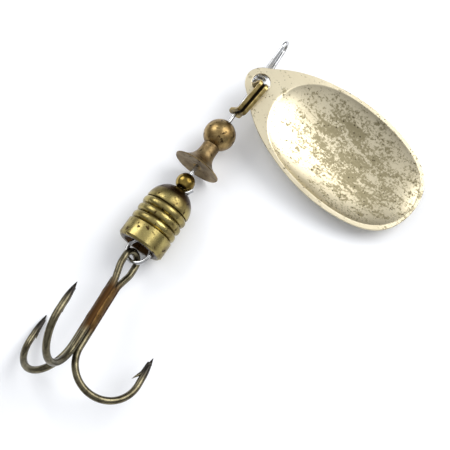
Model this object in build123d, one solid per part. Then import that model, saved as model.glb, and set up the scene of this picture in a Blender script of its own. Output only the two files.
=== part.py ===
"""Inline spinner: a weighted wire lure with a spoon blade on a clevis and a treble hook.

Modelled in millimetres. X runs along the wire towards the line tie, Z is up, and the lure lies
as it does on a table: the bell's rim, the blade's bowl and one hook point touching it.
While the pieces are made, the wire's axis is the X axis and the ball's centre is the origin.
At the end everything moves so that the origin is the bottom centre of the overall box.
"""
import os
from math import asin, atan2, cos, degrees, hypot, pi, radians, sin, sqrt

from build123d import *

# ---- driving dimensions: wire ----
wire_d = 0.90  # spring steel wire
wire_gap = 0.05  # between the two strands inside the weight, and between wrap turns
ring_r = 2.65  # centreline radius of the rear ring that carries the hook
ring_neck_r = 1.20  # bend where a strand leaves the bore to form the ring
ring_sink = 0.80  # how far the ring's centre stands behind the weight's tail face
tag_bend_r = 0.90  # first bend of the tag end, at the mouth of the dome
tag_end_angle = 72.0  # how far the tag goes round the small bead, from straight back
ring_roll = -14.0  # roll of the ring and the tag about the wire, tag side up
loop_stand = 0.80  # from the wraps to where the front loop leaves the axis
loop_root = 3.0  # straight wire in front of that, under the wraps
loop_length = 7.6
loop_width = 3.9  # centreline width of the line-tie loop at its far end
loop_bend = 1.75  # bends at the far end
loop_ease = 2.5  # bends where the loop leaves the wire and comes back to it
loop_roll = 10.0  # lean of the loop's plane from upright, towards -Y
wrap_turns = 4
wrap_stand = 0.35  # clear of the clevis
corner_swell = 0.02  # extra radius where the loop turns into the wraps

# ---- driving dimensions: turned pieces ----
ball_d = 7.0
small_bead_d = 4.14
small_bead_x = -13.06
bell_rim_d = 10.6
bell_neck_d = 3.8
bell_lip = 0.18  # how far behind the cup's edge on the ball the neck's outside starts
bell_length = 5.7
bell_throat = 3.5  # length of the narrow part before the flare opens
bell_throat_rise = 0.65  # how much wider the bell is at the end of that
bell_edge = 0.20  # thickness of the rim
bell_hub_r = 1.05  # where the dished back meets the bore
bell_dish = 0.30
body_d = 10.36
body_length = 15.2  # tail face to where the full dome would end
dome_d = 10.0
body_rib_d = 10.3
groove_depth = 0.60
band_length = 4.0
rib_count = 3
recess_gap = 0.20  # room past the ring's neck at the bottom of the tail recess
rib_zone = 5.9
rib_tail = 0.20  # straight groove floor after the last rib
dome_edge = 0.15  # small bevel at the dome's edge
body_tail_x = -30.0
tail_chamfer = 0.45
recess_taper = 0.80  # share of the tail recess's depth that is cone

# ---- driving dimensions: clevis ----
strip_t = 0.60
strip_w = 3.10
waist_w = 2.30
ear_r = 1.70
clevis_rear_x = 6.34
clevis_front_x = 13.5
clevis_lead = 0.35  # how far the top of the turn leans in front of the front leg
clevis_nip = 1.2  # how far below the shoulder the turn runs into the front leg
clevis_shoulder_h = 3.25
clevis_top_h = 5.7
clevis_bends = [0.8, 0.9, 1.0]  # bend radii, from the rear shoulder to the front leg
ear_neck = 1.6  # how far below the shoulder the ears have narrowed to the waist
clevis_roll = 29.0  # lean of the clevis from upright, towards -Y
channel_w = 0.80
channel_depth = 0.25
ear_clear = 0.10  # extra radial room where the wire passes through the ears

# ---- driving dimensions: blade ----
blade_length = 45.9
blade_width = 24.5
blade_t = 0.60
blade_hole_d = 4.0
hole_to_nose = 3.33
nose_r = 3.6
blade_lean = 0.20  # how far the blade's widest part lies towards its tip
blade_pinch = 0.30  # narrowing beside the nose
bowl_full = 0.20  # how square-ended the bowl is
bowl_start = 5.1  # from the hole's centre to the near edge of the pressed bowl
bowl_rim = 1.15  # flat rim left round the bowl
bowl_depth = 4.4
bowl_sections = (0, 25, 48, 66, 80)  # loft sections, as angles down from the rim
bowl_middle = 0.56  # share of the bowl's length from its near edge to its deepest point
hole_ahead = 0.80  # hole's centre in front of the clevis's front leg
hole_h = 2.66  # hole's height off the wire, up the lean of the clevis
blade_yaw = -98.4
blade_roll = 2.0

# ---- driving dimensions: treble hook ----
hook_wire_d = 1.45
eye_r = 2.05  # centreline radius of the hook's eye
eye_length = 8.0
eye_turn = 142.0  # eye's plane, measured round the shank from the first prong
eye_shift = 0.2  # how far the ring bears off the eye's middle
eye_shoulder = 3.2  # bends where the eye's wire comes back to the shank
shank_length = 23.8  # top of the eye to the centre of the bends
bend_r = 6.8
point_leg = 6.3
point_taper = 2.8
point_tip_d = 0.16
barb_reach = 1.75
barb_back = 6.3
barb_t = 0.56
hook_yaw = -172.6
hook_roll = -18.9
strand_gap = 0.06
second_prong_lag = 0.8  # how much further back the second prong bends than the others
prong_join = 4.0  # straight end of each prong on the shank, before its bend
single_lead = 2.2  # how far the third wire shows in front of the brazing
braze_d = 3.0
braze_start = 10.2
braze_length = 10.0

# ---- clearances ----
bore_clear = 0.08  # radial, round a single wire
twin_clear = 0.15  # radial, round the two strands inside the weight
seat_gap = 0.10  # between the bell's cup and the ball
tag_gap = 0.12  # between the tag end, the small bead and the dome's dish
ring_gap = 0.75  # between the ring and the top of the hook's eye
floor_gap = 0.05  # how far the bowl and the hook point stay above the table

wire_r = wire_d / 2
ball_r = ball_d / 2
bead_r = small_bead_d / 2
body_r = body_d / 2
strand_pitch = wire_d + wire_gap
wrap_front = clevis_front_x + strip_t / 2 + wrap_stand + wire_r + wrap_turns * strand_pitch
loop_start = wrap_front + loop_stand
table_z = -max(body_d, bell_rim_d) / 2
egg_points = 22  # points of an egg outline's spline
egg_widest = 1.015  # the outline's greatest half width, over that at its middle


def lathe(*outline):
    """A solid turned about the wire's axis from an outline of edges in (x, radius)."""
    return revolve(make_face(outline), Axis.X, 360)


def tube(path, radius):
    """Round wire of the given radius along a path."""
    return sweep(Plane(origin=path @ 0, z_dir=path % 0) * Circle(radius), path)


def egg(length, width, start, lean, pinch, full):
    """Egg outline along x: width/2 sin(a) (1 - lean cos a - pinch cos^5 a + full cos^2 a)."""
    points = []
    for i in range(egg_points):
        a = 2 * pi * i / egg_points
        swell = 1 - lean * cos(a) - pinch * cos(a) ** 5 + full * cos(a) ** 2
        points.append((start + length * (1 - cos(a)) / 2, width / 2 * sin(a) * swell / egg_widest))
    return make_face(Spline(*points, periodic=True))


# ---- wire ----
ring_x = body_tail_x - ring_sink
ring_turn = Rot(ring_roll, 0, 0)
ring_apex = (ring_turn * Pos(ring_x - ring_r, -strand_pitch / 2, 0)).position
tag_path_r = bead_r + tag_gap + wire_r


def rear_wire():
    """Straight shaft, rear ring, second strand back through the weight, and the tag end."""
    drop = ring_neck_r + strand_pitch / 2
    run = sqrt((ring_r + ring_neck_r) ** 2 - drop**2)
    lean = degrees(atan2(drop, run))
    neck_x = ring_x + run
    turn = degrees(asin((strand_pitch + tag_bend_r) / (tag_path_r + tag_bend_r)))
    tag_x = small_bead_x - (tag_path_r + tag_bend_r) * cos(radians(turn))
    return Wire(
        [
            Line((loop_start - loop_root, 0), (neck_x, 0)),
            CenterArc((neck_x, ring_neck_r), ring_neck_r, -90, lean - 90),
            CenterArc((ring_x, -strand_pitch / 2), ring_r, lean, 360 - 2 * lean),
            CenterArc((neck_x, -strand_pitch - ring_neck_r), ring_neck_r, 180 - lean, lean - 90),
            Line((neck_x, -strand_pitch), (tag_x, -strand_pitch)),
            CenterArc((tag_x, -strand_pitch - tag_bend_r), tag_bend_r, 90, turn - 90),
            CenterArc((small_bead_x, 0), tag_path_r, 180 + turn, tag_end_angle - turn),
        ]
    )


def loop_plane():
    """Plane of the front loop: x along the wire, y across the loop, z to the returning strand."""
    lean = radians(loop_roll)
    return Plane(origin=(0, 0, 0), x_dir=(1, 0, 0), z_dir=(0, -cos(lean), -sin(lean)))


def front_loop():
    """Line-tie loop: a teardrop that comes back beside the wire to the first wrap."""
    tip = loop_start + loop_length
    side = loop_width / 2
    corners = [
        (loop_start - loop_root, 0, 0),
        (loop_start, 0, 0),
        (tip, side, 0),
        (tip, -side, strand_pitch / 2),
        (loop_start, 0, strand_pitch),
        (wrap_front, 0, strand_pitch),
    ]
    return FilletPolyline(*corners, radius=[loop_ease, loop_bend, loop_bend, loop_ease])


def make_wire_shaft():
    """One wire: loop, wraps, shaft, ring and tag end."""
    wrap_length = wrap_turns * strand_pitch
    start = loop_plane() * Pos(wrap_front, 0, strand_pitch)
    roll = degrees(atan2(start.position.Z, start.position.Y))
    coil = Helix(strand_pitch, wrap_length, strand_pitch)
    coil = Rot(roll, 0, 0) * Pos(wrap_front, 0, 0) * Rot(0, -90, 0) * Rot(0, 0, 90) * coil
    wraps = sweep(Plane(origin=coil @ 0, z_dir=coil % 0) * Circle(wire_r), coil, is_frenet=True)
    shaft = ring_turn * tube(rear_wire(), wire_r)
    loop = tube(loop_plane() * front_loop(), wire_r)
    corner = Pos(coil @ 0) * Sphere(wire_r + corner_swell)
    return shaft + loop + corner + wraps


# ---- turned pieces ----
bore_r = wire_r + bore_clear
twin_bore_r = strand_pitch + wire_r + twin_clear


def make_bead(diameter, x):
    """Drilled ball on the wire."""
    return Pos(x, 0, 0) * (Sphere(diameter / 2) - Rot(0, 90, 0) * Cylinder(bore_r, diameter))


def make_bell():
    """Trumpet-shaped collar: a cup against the ball, flaring back to a sharp rim."""
    cup_r = ball_r + seat_gap
    neck_r = bell_neck_d / 2
    neck_x = -sqrt(cup_r**2 - neck_r**2) - bell_lip
    rim_x = neck_x - bell_length
    rim_r = bell_rim_d / 2
    flare = (neck_x - bell_throat, neck_r + bell_throat_rise)
    front = (rim_x + bell_edge, rim_r)
    back = (rim_x, rim_r - bell_edge / 2)
    hub = (rim_x + bell_dish, bell_hub_r)
    solid = lathe(
        Line((neck_x, bore_r), (neck_x, neck_r)),
        ThreePointArc((neck_x, neck_r), flare, front),
        Line(front, back),
        Line(back, hub),
        Line(hub, (rim_x + bell_dish, bore_r)),
        Line((rim_x + bell_dish, bore_r), (neck_x, bore_r)),
    )
    return solid - Sphere(cup_r)


def make_body():
    """Turned weight: tail band, rounded ribs and a dome, dished at the front for the tag end."""
    dome_r = dome_d / 2
    dome_x = body_length - dome_r
    root_r = body_r - groove_depth
    rib_x = dome_x - rib_zone
    rib_pitch = (rib_zone - rib_tail) / rib_count
    recess_r = ring_r + strand_pitch / 2 + wire_r + twin_clear
    recess = ring_r + ring_neck_r + recess_gap
    cone = recess * recess_taper
    edges = [
        Line((recess, 0), (recess, twin_bore_r)),
        Line((recess, twin_bore_r), (cone, twin_bore_r)),
        Line((cone, twin_bore_r), (0, recess_r)),
        Line((0, recess_r), (0, body_r - tail_chamfer)),
        Line((0, body_r - tail_chamfer), (tail_chamfer, body_r)),
        Line((tail_chamfer, body_r), (band_length, body_r)),
        Line((band_length, body_r), (rib_x, root_r)),
    ]
    for i in range(rib_count):
        x = rib_x + i * rib_pitch
        crest = (x + rib_pitch / 2, body_rib_d / 2)
        edges.append(ThreePointArc((x, root_r), crest, (x + rib_pitch, root_r)))
    last_x = rib_x + rib_count * rib_pitch
    edges += [
        Line((last_x, root_r), (dome_x - dome_edge, dome_r - dome_edge)),
        Line((dome_x - dome_edge, dome_r - dome_edge), (dome_x, dome_r)),
        CenterArc((dome_x, 0), dome_r, 90, -90),
        Line((body_length, 0), (recess, 0)),
    ]
    solid = Pos(body_tail_x, 0, 0) * lathe(*edges)
    dish = Pos(small_bead_x, 0, 0) * Sphere(tag_path_r + wire_r + tag_gap)
    bore = Pos(body_tail_x + body_length / 2, 0, 0) * Rot(0, 90, 0) * Cylinder(twin_bore_r, body_length)
    return solid - dish - bore


# ---- clevis ----
def clevis_plane():
    """Plane of the clevis: x along the wire, y up the lean of the clevis."""
    lean = radians(clevis_roll)
    return Plane(origin=(0, 0, 0), x_dir=(1, 0, 0), z_dir=(0, -cos(lean), -sin(lean)))


def make_clevis():
    """Bent brass strip: two drilled ears on the wire, a sloping leg and a turn through the blade."""
    corners = [
        (clevis_rear_x, -ear_r),
        (clevis_rear_x, clevis_shoulder_h),
        (clevis_front_x + clevis_lead, clevis_top_h),
        (clevis_front_x, clevis_shoulder_h - clevis_nip),
        (clevis_front_x, -ear_r),
    ]
    path = FilletPolyline(*corners, radius=clevis_bends)
    across = Plane(origin=path @ 0, x_dir=(1, 0, 0), z_dir=path % 0)
    strip = sweep(across * Rectangle(strip_t, strip_w), path)
    outer = Plane(origin=path @ 0 - Vector(strip_t / 2, 0, 0), x_dir=(1, 0, 0), z_dir=path % 0)
    channel = sweep(outer * Rectangle(2 * channel_depth, channel_w), path)
    span = clevis_front_x - clevis_rear_x
    keep = Pos(clevis_rear_x + span / 2, clevis_top_h + ear_r, 0)
    channel = channel & keep * Box(2 * span, 2 * clevis_top_h, 2 * channel_w)
    # seen along the wire: round ears below, a straight waist above
    neck_h = clevis_shoulder_h - ear_neck
    over_h = clevis_top_h + strip_t
    right = [(0, strip_w / 2), (neck_h, waist_w / 2), (over_h, waist_w / 2)]
    left = [(y, -z) for y, z in reversed(right)]
    face = make_face(Polyline(*right, *left, close=True)) + Circle(strip_w / 2)
    side = Plane(origin=(0, 0, 0), x_dir=(0, 1, 0), z_dir=(1, 0, 0))
    shape = extrude(side * face, amount=clevis_front_x + strip_w)
    strip = (strip - channel) & shape
    strip = strip - Rot(0, 90, 0) * Cylinder(bore_r + ear_clear, 4 * clevis_front_x)
    return clevis_plane() * strip


# ---- blade ----
def blade_plane():
    """Mid-plane of the blade's flat: origin at the hole, x to the tip, z out of the bowl's mouth."""
    lean = radians(clevis_roll)
    hole = Vector(clevis_front_x + hole_ahead, -hole_h * sin(lean), hole_h * cos(lean))
    deepest = bowl_start + bowl_middle * (blade_length - hole_to_nose - bowl_start)
    drop = hole.Z - table_z - floor_gap - bowl_depth - blade_t
    pitch = asin(drop / deepest)
    yaw = radians(blade_yaw)
    along = Vector(cos(yaw) * cos(pitch), sin(yaw) * cos(pitch), -sin(pitch))
    level = Vector(-sin(yaw), cos(yaw), 0)
    up = along.cross(level)
    tip = radians(blade_roll)
    across = level * cos(tip) + up * sin(tip)
    return Plane(origin=hole, x_dir=along, z_dir=along.cross(across))


def bowl(grow):
    """The pressed bowl as a closed loft of egg sections, grown outwards by one wall."""
    length = blade_length - hole_to_nose - bowl_start - bowl_rim
    width = blade_width - 2 * bowl_rim
    middle = bowl_start + bowl_middle * length
    sections = []
    for angle in bowl_sections:
        size = cos(radians(angle))
        deep = bowl_depth * sin(radians(angle))
        start = middle - bowl_middle * length * size - grow
        face = egg(length * size + 2 * grow, width * size + 2 * grow, start, 0, 0, bowl_full)
        sections.append(Pos(0, 0, blade_t / 2 - deep - grow) * face)
    return loft(sections)


def make_blade():
    """Plated spoon blade: flat flange with a hole, pressed bowl and a narrow flat rim."""
    flat = egg(blade_length, blade_width, -hole_to_nose, blade_lean, blade_pinch, 0)
    flat = flat + Pos(nose_r - hole_to_nose, 0) * Circle(nose_r)
    plate = extrude(Pos(0, 0, -blade_t / 2) * flat, amount=blade_t)
    shell = plate + bowl(blade_t) - bowl(0)
    shell = shell - Cylinder(blade_hole_d / 2, 4 * blade_t)
    return blade_plane() * shell


# ---- treble hook ----
hook_r = hook_wire_d / 2
strand_offset = hook_r + strand_gap / 2
single_offset = sqrt(3) * strand_offset + strand_gap / 2
ring_hold = wire_r + ring_gap + hook_r  # ring centreline to the centreline at the eye's top
eye_top = ring_hold + hook_r  # ring centreline to the outside of the eye's top


def hook_axes():
    """Shank direction and the two cross directions, pitched so that the lowest point touches."""
    low = radians(hook_roll + 240)
    lie = radians(hook_roll + eye_turn + 90)
    aside = radians(hook_roll + eye_turn)
    reach = shank_length - point_leg - eye_top
    side = -2 * bend_r * sin(low) - single_offset * sin(lie) - eye_shift * sin(aside)
    fall = table_z + floor_gap + point_tip_d / 2 - ring_apex.Z
    pitch = asin(fall / hypot(reach, side)) + atan2(side, reach)
    yaw = radians(hook_yaw)
    along = Vector(cos(yaw) * cos(pitch), sin(yaw) * cos(pitch), sin(pitch))
    level = Vector(0, 0, 1).cross(along).normalized()
    return along, level, along.cross(level)


def hook_plane(angle, offset_angle=0.0, offset=0.0):
    """Plane along the shank: origin at the eye's outer top, x to the bends, y at an angle round it."""
    along, level, up = hook_axes()
    turn = radians(hook_roll + angle)
    out = level * cos(turn) + up * sin(turn)
    aside = radians(hook_roll + eye_turn)
    origin = ring_apex - along * eye_top + (level * cos(aside) + up * sin(aside)) * eye_shift
    shift = radians(hook_roll + offset_angle)
    origin = origin + (level * cos(shift) + up * sin(shift)) * offset
    return Plane(origin=origin, x_dir=along, z_dir=along.cross(out))


def prong(start):
    """Half-round bend and straight leg from one shank strand, ending in a barbed point."""
    leg_end = shank_length - point_leg + point_taper
    path = Wire(
        [
            Line((start, 0), (shank_length, 0)),
            CenterArc((shank_length, bend_r), bend_r, -90, 180),
            Line((shank_length, 2 * bend_r), (leg_end, 2 * bend_r)),
        ]
    )
    wire = tube(path, hook_r)
    taper = Cone(hook_r, point_tip_d / 2, point_taper)
    point = Pos(leg_end - point_taper / 2, 2 * bend_r) * Rot(0, -90, 0) * taper
    tip = shank_length - point_leg
    y = 2 * bend_r
    lift = [(1.6, 0.1), (3.4, 0.8), (barb_back, barb_reach), (0.72 * barb_back, 0.3)]
    cut = make_face(Polyline(*[(tip + back, y - reach) for back, reach in lift], close=True))
    barb = extrude(cut, amount=barb_t / 2, both=True)
    return wire + point + barb


def make_hook_double():
    """One wire: a prong, up the shank, round the eye, down the shank and the second prong."""
    o = strand_offset
    top = hook_r
    neck = eye_length + 1.0
    wide = eye_length - 3.0
    join = shank_length - prong_join
    right = [(join, o), (neck, o), (wide, eye_r), (top, eye_r)]
    left = [(x, -y) for x, y in reversed(right)]
    bend = eye_r * 0.985  # a little under the eye's radius, so that its two corners stay apart
    ease = eye_shoulder
    path = FilletPolyline(*right, *left, radius=[ease, ease, bend, bend, ease, ease])
    eye = hook_plane(eye_turn) * tube(path, hook_r)
    first = hook_plane(0, eye_turn - 180, o) * prong(join)
    second = hook_plane(120, eye_turn, o) * Pos(second_prong_lag, 0) * prong(join - second_prong_lag)
    return eye + first + second


def make_hook_single():
    """The third prong, a separate wire laid in the groove of the other two."""
    return hook_plane(240, eye_turn + 90, single_offset) * prong(braze_start - single_lead)


def make_hook_braze():
    """Brazing along the shank, filling the grooves between the three strands."""
    middle = braze_start + braze_length / 2
    lay = Rot(0, 90, 0)
    rod = Pos(middle, single_offset / 3) * lay * Cylinder(braze_d / 2, braze_length)
    places = [(single_offset, 0), (0, strand_offset), (0, -strand_offset)]
    for y, z in places:
        rod = rod - Pos(middle, y, z) * lay * Cylinder(hook_r, 2 * braze_length)
    return hook_plane(eye_turn + 90) * rod


nodes = {
    "wire_shaft": make_wire_shaft(),
    "ball_bead": make_bead(ball_d, 0),
    "bell_collar": make_bell(),
    "small_bead": make_bead(small_bead_d, small_bead_x),
    "body_weight": make_body(),
    "clevis": make_clevis(),
    "blade": make_blade(),
    "hook_double": make_hook_double(),
    "hook_single": make_hook_single(),
    "hook_braze": make_hook_braze(),
}

boxes = [solid.bounding_box() for solid in nodes.values()]
low_x, low_y, low_z = (min(tuple(box.min)[k] for box in boxes) for k in range(3))
high_x, high_y = (max(tuple(box.max)[k] for box in boxes) for k in range(2))
shift = Vector(-(low_x + high_x) / 2, -(low_y + high_y) / 2, -low_z)

os.makedirs("parts", exist_ok=True)
for name, solid in nodes.items():
    export_step(Pos(shift) * solid, f"parts/{name}.step")
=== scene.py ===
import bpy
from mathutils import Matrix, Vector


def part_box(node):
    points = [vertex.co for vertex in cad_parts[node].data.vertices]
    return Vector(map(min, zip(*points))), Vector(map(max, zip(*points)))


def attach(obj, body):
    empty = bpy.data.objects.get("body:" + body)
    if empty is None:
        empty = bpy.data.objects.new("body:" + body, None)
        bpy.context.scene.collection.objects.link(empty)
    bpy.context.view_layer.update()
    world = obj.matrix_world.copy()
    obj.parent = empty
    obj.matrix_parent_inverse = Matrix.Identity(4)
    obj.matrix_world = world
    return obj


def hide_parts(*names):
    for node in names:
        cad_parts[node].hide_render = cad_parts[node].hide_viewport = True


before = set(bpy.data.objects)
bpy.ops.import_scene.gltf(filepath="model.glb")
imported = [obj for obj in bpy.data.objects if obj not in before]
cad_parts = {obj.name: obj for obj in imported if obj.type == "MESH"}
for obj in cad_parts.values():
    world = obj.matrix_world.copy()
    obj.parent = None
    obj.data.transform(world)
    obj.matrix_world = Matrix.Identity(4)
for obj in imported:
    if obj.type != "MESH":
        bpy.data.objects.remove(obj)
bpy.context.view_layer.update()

from math import asin, atan2, hypot, pi, sqrt

import bmesh
import bpy
import numpy as np
from mathutils import Vector

# An inline spinner: one spring steel wire carries a turned brass weight, a small bead, a flared
# collar, a ball and a strip clevis with the plated blade; a treble hook hangs in its rear ring.
# Sizes are in millimetres from the ball's centre, x along the wire, and place() makes them metres.

# ---- camera, floor and light ----
# The lure lies on a white sheet of card under two large soft lamps in a pale room. The room is
# grey at the height of its walls and near white overhead, so that the metals show their shape.
low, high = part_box("ball_bead")
ball_centre = np.array((low + high) / 2)


def place(points):
    """Millimetres from the ball's centre to metres in the frame."""
    return ball_centre + np.asarray(points, float) / 1000


camera_place = (-64.52, -44.08, 177.79)
camera_turn, camera_height = np.radians((-56.51, 71.98))
camera_data = bpy.data.cameras.new("camera")
camera_data.lens = 72.0
camera_data.sensor_width = 36.0
camera_data.clip_start = 0.01
camera = bpy.data.objects.new("camera", camera_data)
bpy.context.collection.objects.link(camera)
camera.location = place(camera_place)
camera.rotation_euler = (pi / 2 - camera_height, 0, camera_turn)
bpy.context.scene.camera = camera
bpy.context.scene.view_settings.view_transform = "Standard"


def linear(code):
    """An sRGB hex colour as linear red, green, blue and full alpha."""
    srgb = np.array([int(code[i : i + 2], 16) for i in (1, 3, 5)]) / 255
    value = np.where(srgb <= 0.04045, srgb / 12.92, ((srgb + 0.055) / 1.055) ** 2.4)
    return (*value, 1.0)


def add(tree, kind, inputs=(), out=None, **settings):
    """Adds a shader node with its settings, and sets or links each (socket, value or output).

    It returns the output called out, or else the first output that the settings leave in use.
    """
    made = tree.nodes.new("ShaderNode" + kind)
    for name, value in settings.items():
        setattr(made, name, value)
    for socket, value in inputs:
        if isinstance(value, bpy.types.NodeSocket):
            tree.links.new(value, made.inputs[socket])
        else:
            made.inputs[socket].default_value = value
    return made.outputs[out] if out else next(each for each in made.outputs if each.enabled)


card_half = 6.0  # metres, so that its edge is out of sight
card_corners = [(x * card_half, y * card_half, 0) for x, y in ((-1, -1), (1, -1), (1, 1), (-1, 1))]
card_mesh = bpy.data.meshes.new("card")
card_mesh.from_pydata(card_corners, [], [(0, 1, 2, 3)])
card = bpy.data.objects.new("card", card_mesh)
bpy.context.collection.objects.link(card)
card_finish = bpy.data.materials.new("white_card")
card_finish.use_nodes = True
card_shader = card_finish.node_tree.nodes["Principled BSDF"]
card_shader.inputs["Base Color"].default_value = linear("#F7F8FA")
card_shader.inputs["Roughness"].default_value = 0.9
card_shader.inputs["Specular IOR Level"].default_value = 0.1
card_mesh.materials.append(card_finish)

world = bpy.data.worlds.new("room")
world.use_nodes = True
bpy.context.scene.world = world
room = world.node_tree
room_way = add(room, "TexCoord", out="Generated")
room_height = add(room, "SeparateXYZ", [(0, room_way)], out="Z")
room_rise = add(
    room, "MapRange",
    [("Value", room_height), ("From Min", 0.2), ("From Max", 0.98)],
    interpolation_type="SMOOTHSTEP",
)
room_colour = add(
    room, "Mix",
    [(0, room_rise), (6, linear("#8F8F90")), (7, linear("#F4F6FA"))],
    data_type="RGBA",
)
room.links.new(room_colour, room.nodes["Background"].inputs["Color"])
room.nodes["Background"].inputs["Strength"].default_value = 0.90


def lamp(name, where, size, power):
    """A square soft lamp: its place and side in millimetres, its power in watts, aimed at the ball."""
    data = bpy.data.lights.new(name, "AREA")
    data.size = size / 1000
    data.energy = power
    made = bpy.data.objects.new(name, data)
    bpy.context.collection.objects.link(made)
    made.location = place(where)
    made.rotation_euler = (-Vector(where)).to_track_quat("-Z", "Y").to_euler()


lamp("key_lamp", (330, -290, 390), 440, 2.9)
lamp("fill_lamp", (120, 480, 430), 380, 1.5)

# ---- wire ----
# One length of bright spring steel wire, drawn and bent cold: the line-tie loop with its wraps,
# the straight shaft, the ring for the hook and a second strand that ends round the small bead.
wire_d = 0.90
wire_gap = 0.05  # between two strands that lie side by side
wire_r = wire_d / 2
strand_pitch = wire_d + wire_gap
body_tail_x = -30.0  # tail face of the weight
ring_r = 2.65
ring_neck_r = 1.20  # bends where the two strands part to form the ring
ring_sink = 0.80  # from the weight's tail face back to the ring's centre
ring_roll = np.radians(-14)  # of the ring and the tag about the wire
small_bead_d = 4.14
small_bead_x = -13.06
tag_bend_r = 0.90
tag_end_angle = 72  # how far the tag goes round the small bead
tag_gap = 0.12  # from the bead to the tag, and from the tag to the weight
loop_start = 19.2
loop_root = 3.0  # straight wire behind the loop, inside the wraps
loop_length = 7.6
loop_width = 3.9  # at its far end
loop_bend = 1.75  # bends at the far end
loop_ease = 2.5  # bends where it leaves the wire and comes back
loop_roll = np.radians(10)
wrap_turns = 4
wrap_front = 18.4


def arc(centre, radius, start, sweep):
    """Points of a flat arc: centre plus radius times (cos, sin) of an angle, in degrees."""
    steps = max(8, int(abs(sweep) / 4))
    angle = np.radians(np.linspace(start, start + sweep, steps))
    return np.stack([centre[0] + radius * np.cos(angle), centre[1] + radius * np.sin(angle)], 1)


def rounded(corners, radii):
    """A run of straight lines whose inner corners are arcs tangent to both of their lines."""
    corners = np.asarray(corners, float)
    points = [corners[:1]]
    for before, corner, after, radius in zip(corners, corners[1:], corners[2:], radii):
        back = (before - corner) / np.linalg.norm(before - corner)
        ahead = (after - corner) / np.linalg.norm(after - corner)
        half = np.arccos(np.clip(back @ ahead, -1, 1)) / 2
        middle = (back + ahead) / np.linalg.norm(back + ahead)
        centre = corner + middle * radius / np.sin(half)
        start = corner + back * radius / np.tan(half) - centre
        end = corner + ahead * radius / np.tan(half) - centre
        turn = pi - 2 * half
        t = np.linspace(0, 1, max(4, int(np.degrees(turn) / 5)))[:, None]
        points.append(centre + (np.sin((1 - t) * turn) * start + np.sin(t * turn) * end) / np.sin(turn))
    return np.vstack([*points, corners[-1:]])


def even(path, step, soften=0):
    """The path as evenly spaced points; soften averages each with that many on either side."""
    path = np.asarray(path, float)
    run = np.concatenate([[0], np.cumsum(np.linalg.norm(np.diff(path, axis=0), axis=1))])
    at = np.linspace(0, run[-1], int(run[-1] / step) + 2)
    path = np.stack([np.interp(at, run, axis) for axis in path.T], 1)
    if soften:
        padded = np.pad(path, ((soften, soften), (0, 0)), mode="reflect", reflect_type="odd")
        window = np.ones(2 * soften + 1) / (2 * soften + 1)
        path = np.stack([np.convolve(axis, window, "valid") for axis in padded.T], 1)
    return path


def tube(path, radius, first=(0.0, 0.0, 1.0), around=20, flat=1.0):
    """Circles square to a path, carried along it without twist, with both ends closed on it.

    Each point is path + radius (flat cos a side + sin a up), where side starts near `first`.
    """
    tangent = np.gradient(path, axis=0)
    tangent /= np.linalg.norm(tangent, axis=1)[:, None]
    side = np.empty_like(path)
    carried = np.asarray(first, float)
    for i, along in enumerate(tangent):
        carried = carried - (carried @ along) * along
        carried /= np.linalg.norm(carried)
        side[i] = carried
    up = np.cross(tangent, side)
    angle = np.linspace(0, 2 * pi, around, endpoint=False)[:, None]
    circle = flat * np.cos(angle) * side[:, None] + np.sin(angle) * up[:, None]
    rings = path[:, None] + np.broadcast_to(radius, len(path))[:, None, None] * circle
    first_ring = np.broadcast_to(path[0], rings[:1].shape)
    last_ring = np.broadcast_to(path[-1], rings[:1].shape)
    return np.concatenate([first_ring, rings, last_ring])


def surface(name, *grids, loop=False, sharp=35):
    """One mesh from grids of points (rows, columns, 3): each grid's columns close round.

    With loop its rows close too. Rows drawn together to a point become a pole.
    """
    corners, faces, count = [], [], 0
    for grid in grids:
        rows, columns = grid.shape[:2]
        index = count + np.arange(rows * columns).reshape(rows, columns)
        index = np.concatenate([index, index[:, :1]], 1)
        index = np.concatenate([index, index[:1]]) if loop else index
        quads = (index[:-1, :-1], index[:-1, 1:], index[1:, 1:], index[1:, :-1])
        faces.append(np.stack(quads, -1).reshape(-1, 4))
        corners.append(place(grid.reshape(-1, 3)))
        count += rows * columns
    mesh = bpy.data.meshes.new(name)
    mesh.from_pydata(np.vstack(corners), [], np.vstack(faces).tolist())
    work = bmesh.new()
    work.from_mesh(mesh)
    bmesh.ops.remove_doubles(work, verts=work.verts, dist=1e-7)
    bmesh.ops.recalc_face_normals(work, faces=work.faces)
    work.to_mesh(mesh)
    work.free()
    mesh.shade_smooth()
    mesh.set_sharp_from_angle(angle=np.radians(sharp))
    piece = bpy.data.objects.new(name, mesh)
    bpy.context.collection.objects.link(piece)
    return piece


def start_metal(name, roughness):
    """A new bare metal, its node tree, its shader and the point's place on the piece."""
    finish = bpy.data.materials.new(name)
    finish.use_nodes = True
    shader = finish.node_tree.nodes["Principled BSDF"]
    shader.inputs["Metallic"].default_value = 1.0
    shader.inputs["Roughness"].default_value = roughness
    where = add(finish.node_tree, "TexCoord", out="Object")
    return finish, finish.node_tree, shader, where


def per(size):
    """Pattern scale for a feature of that size in millimetres."""
    return 1000 / size


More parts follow.
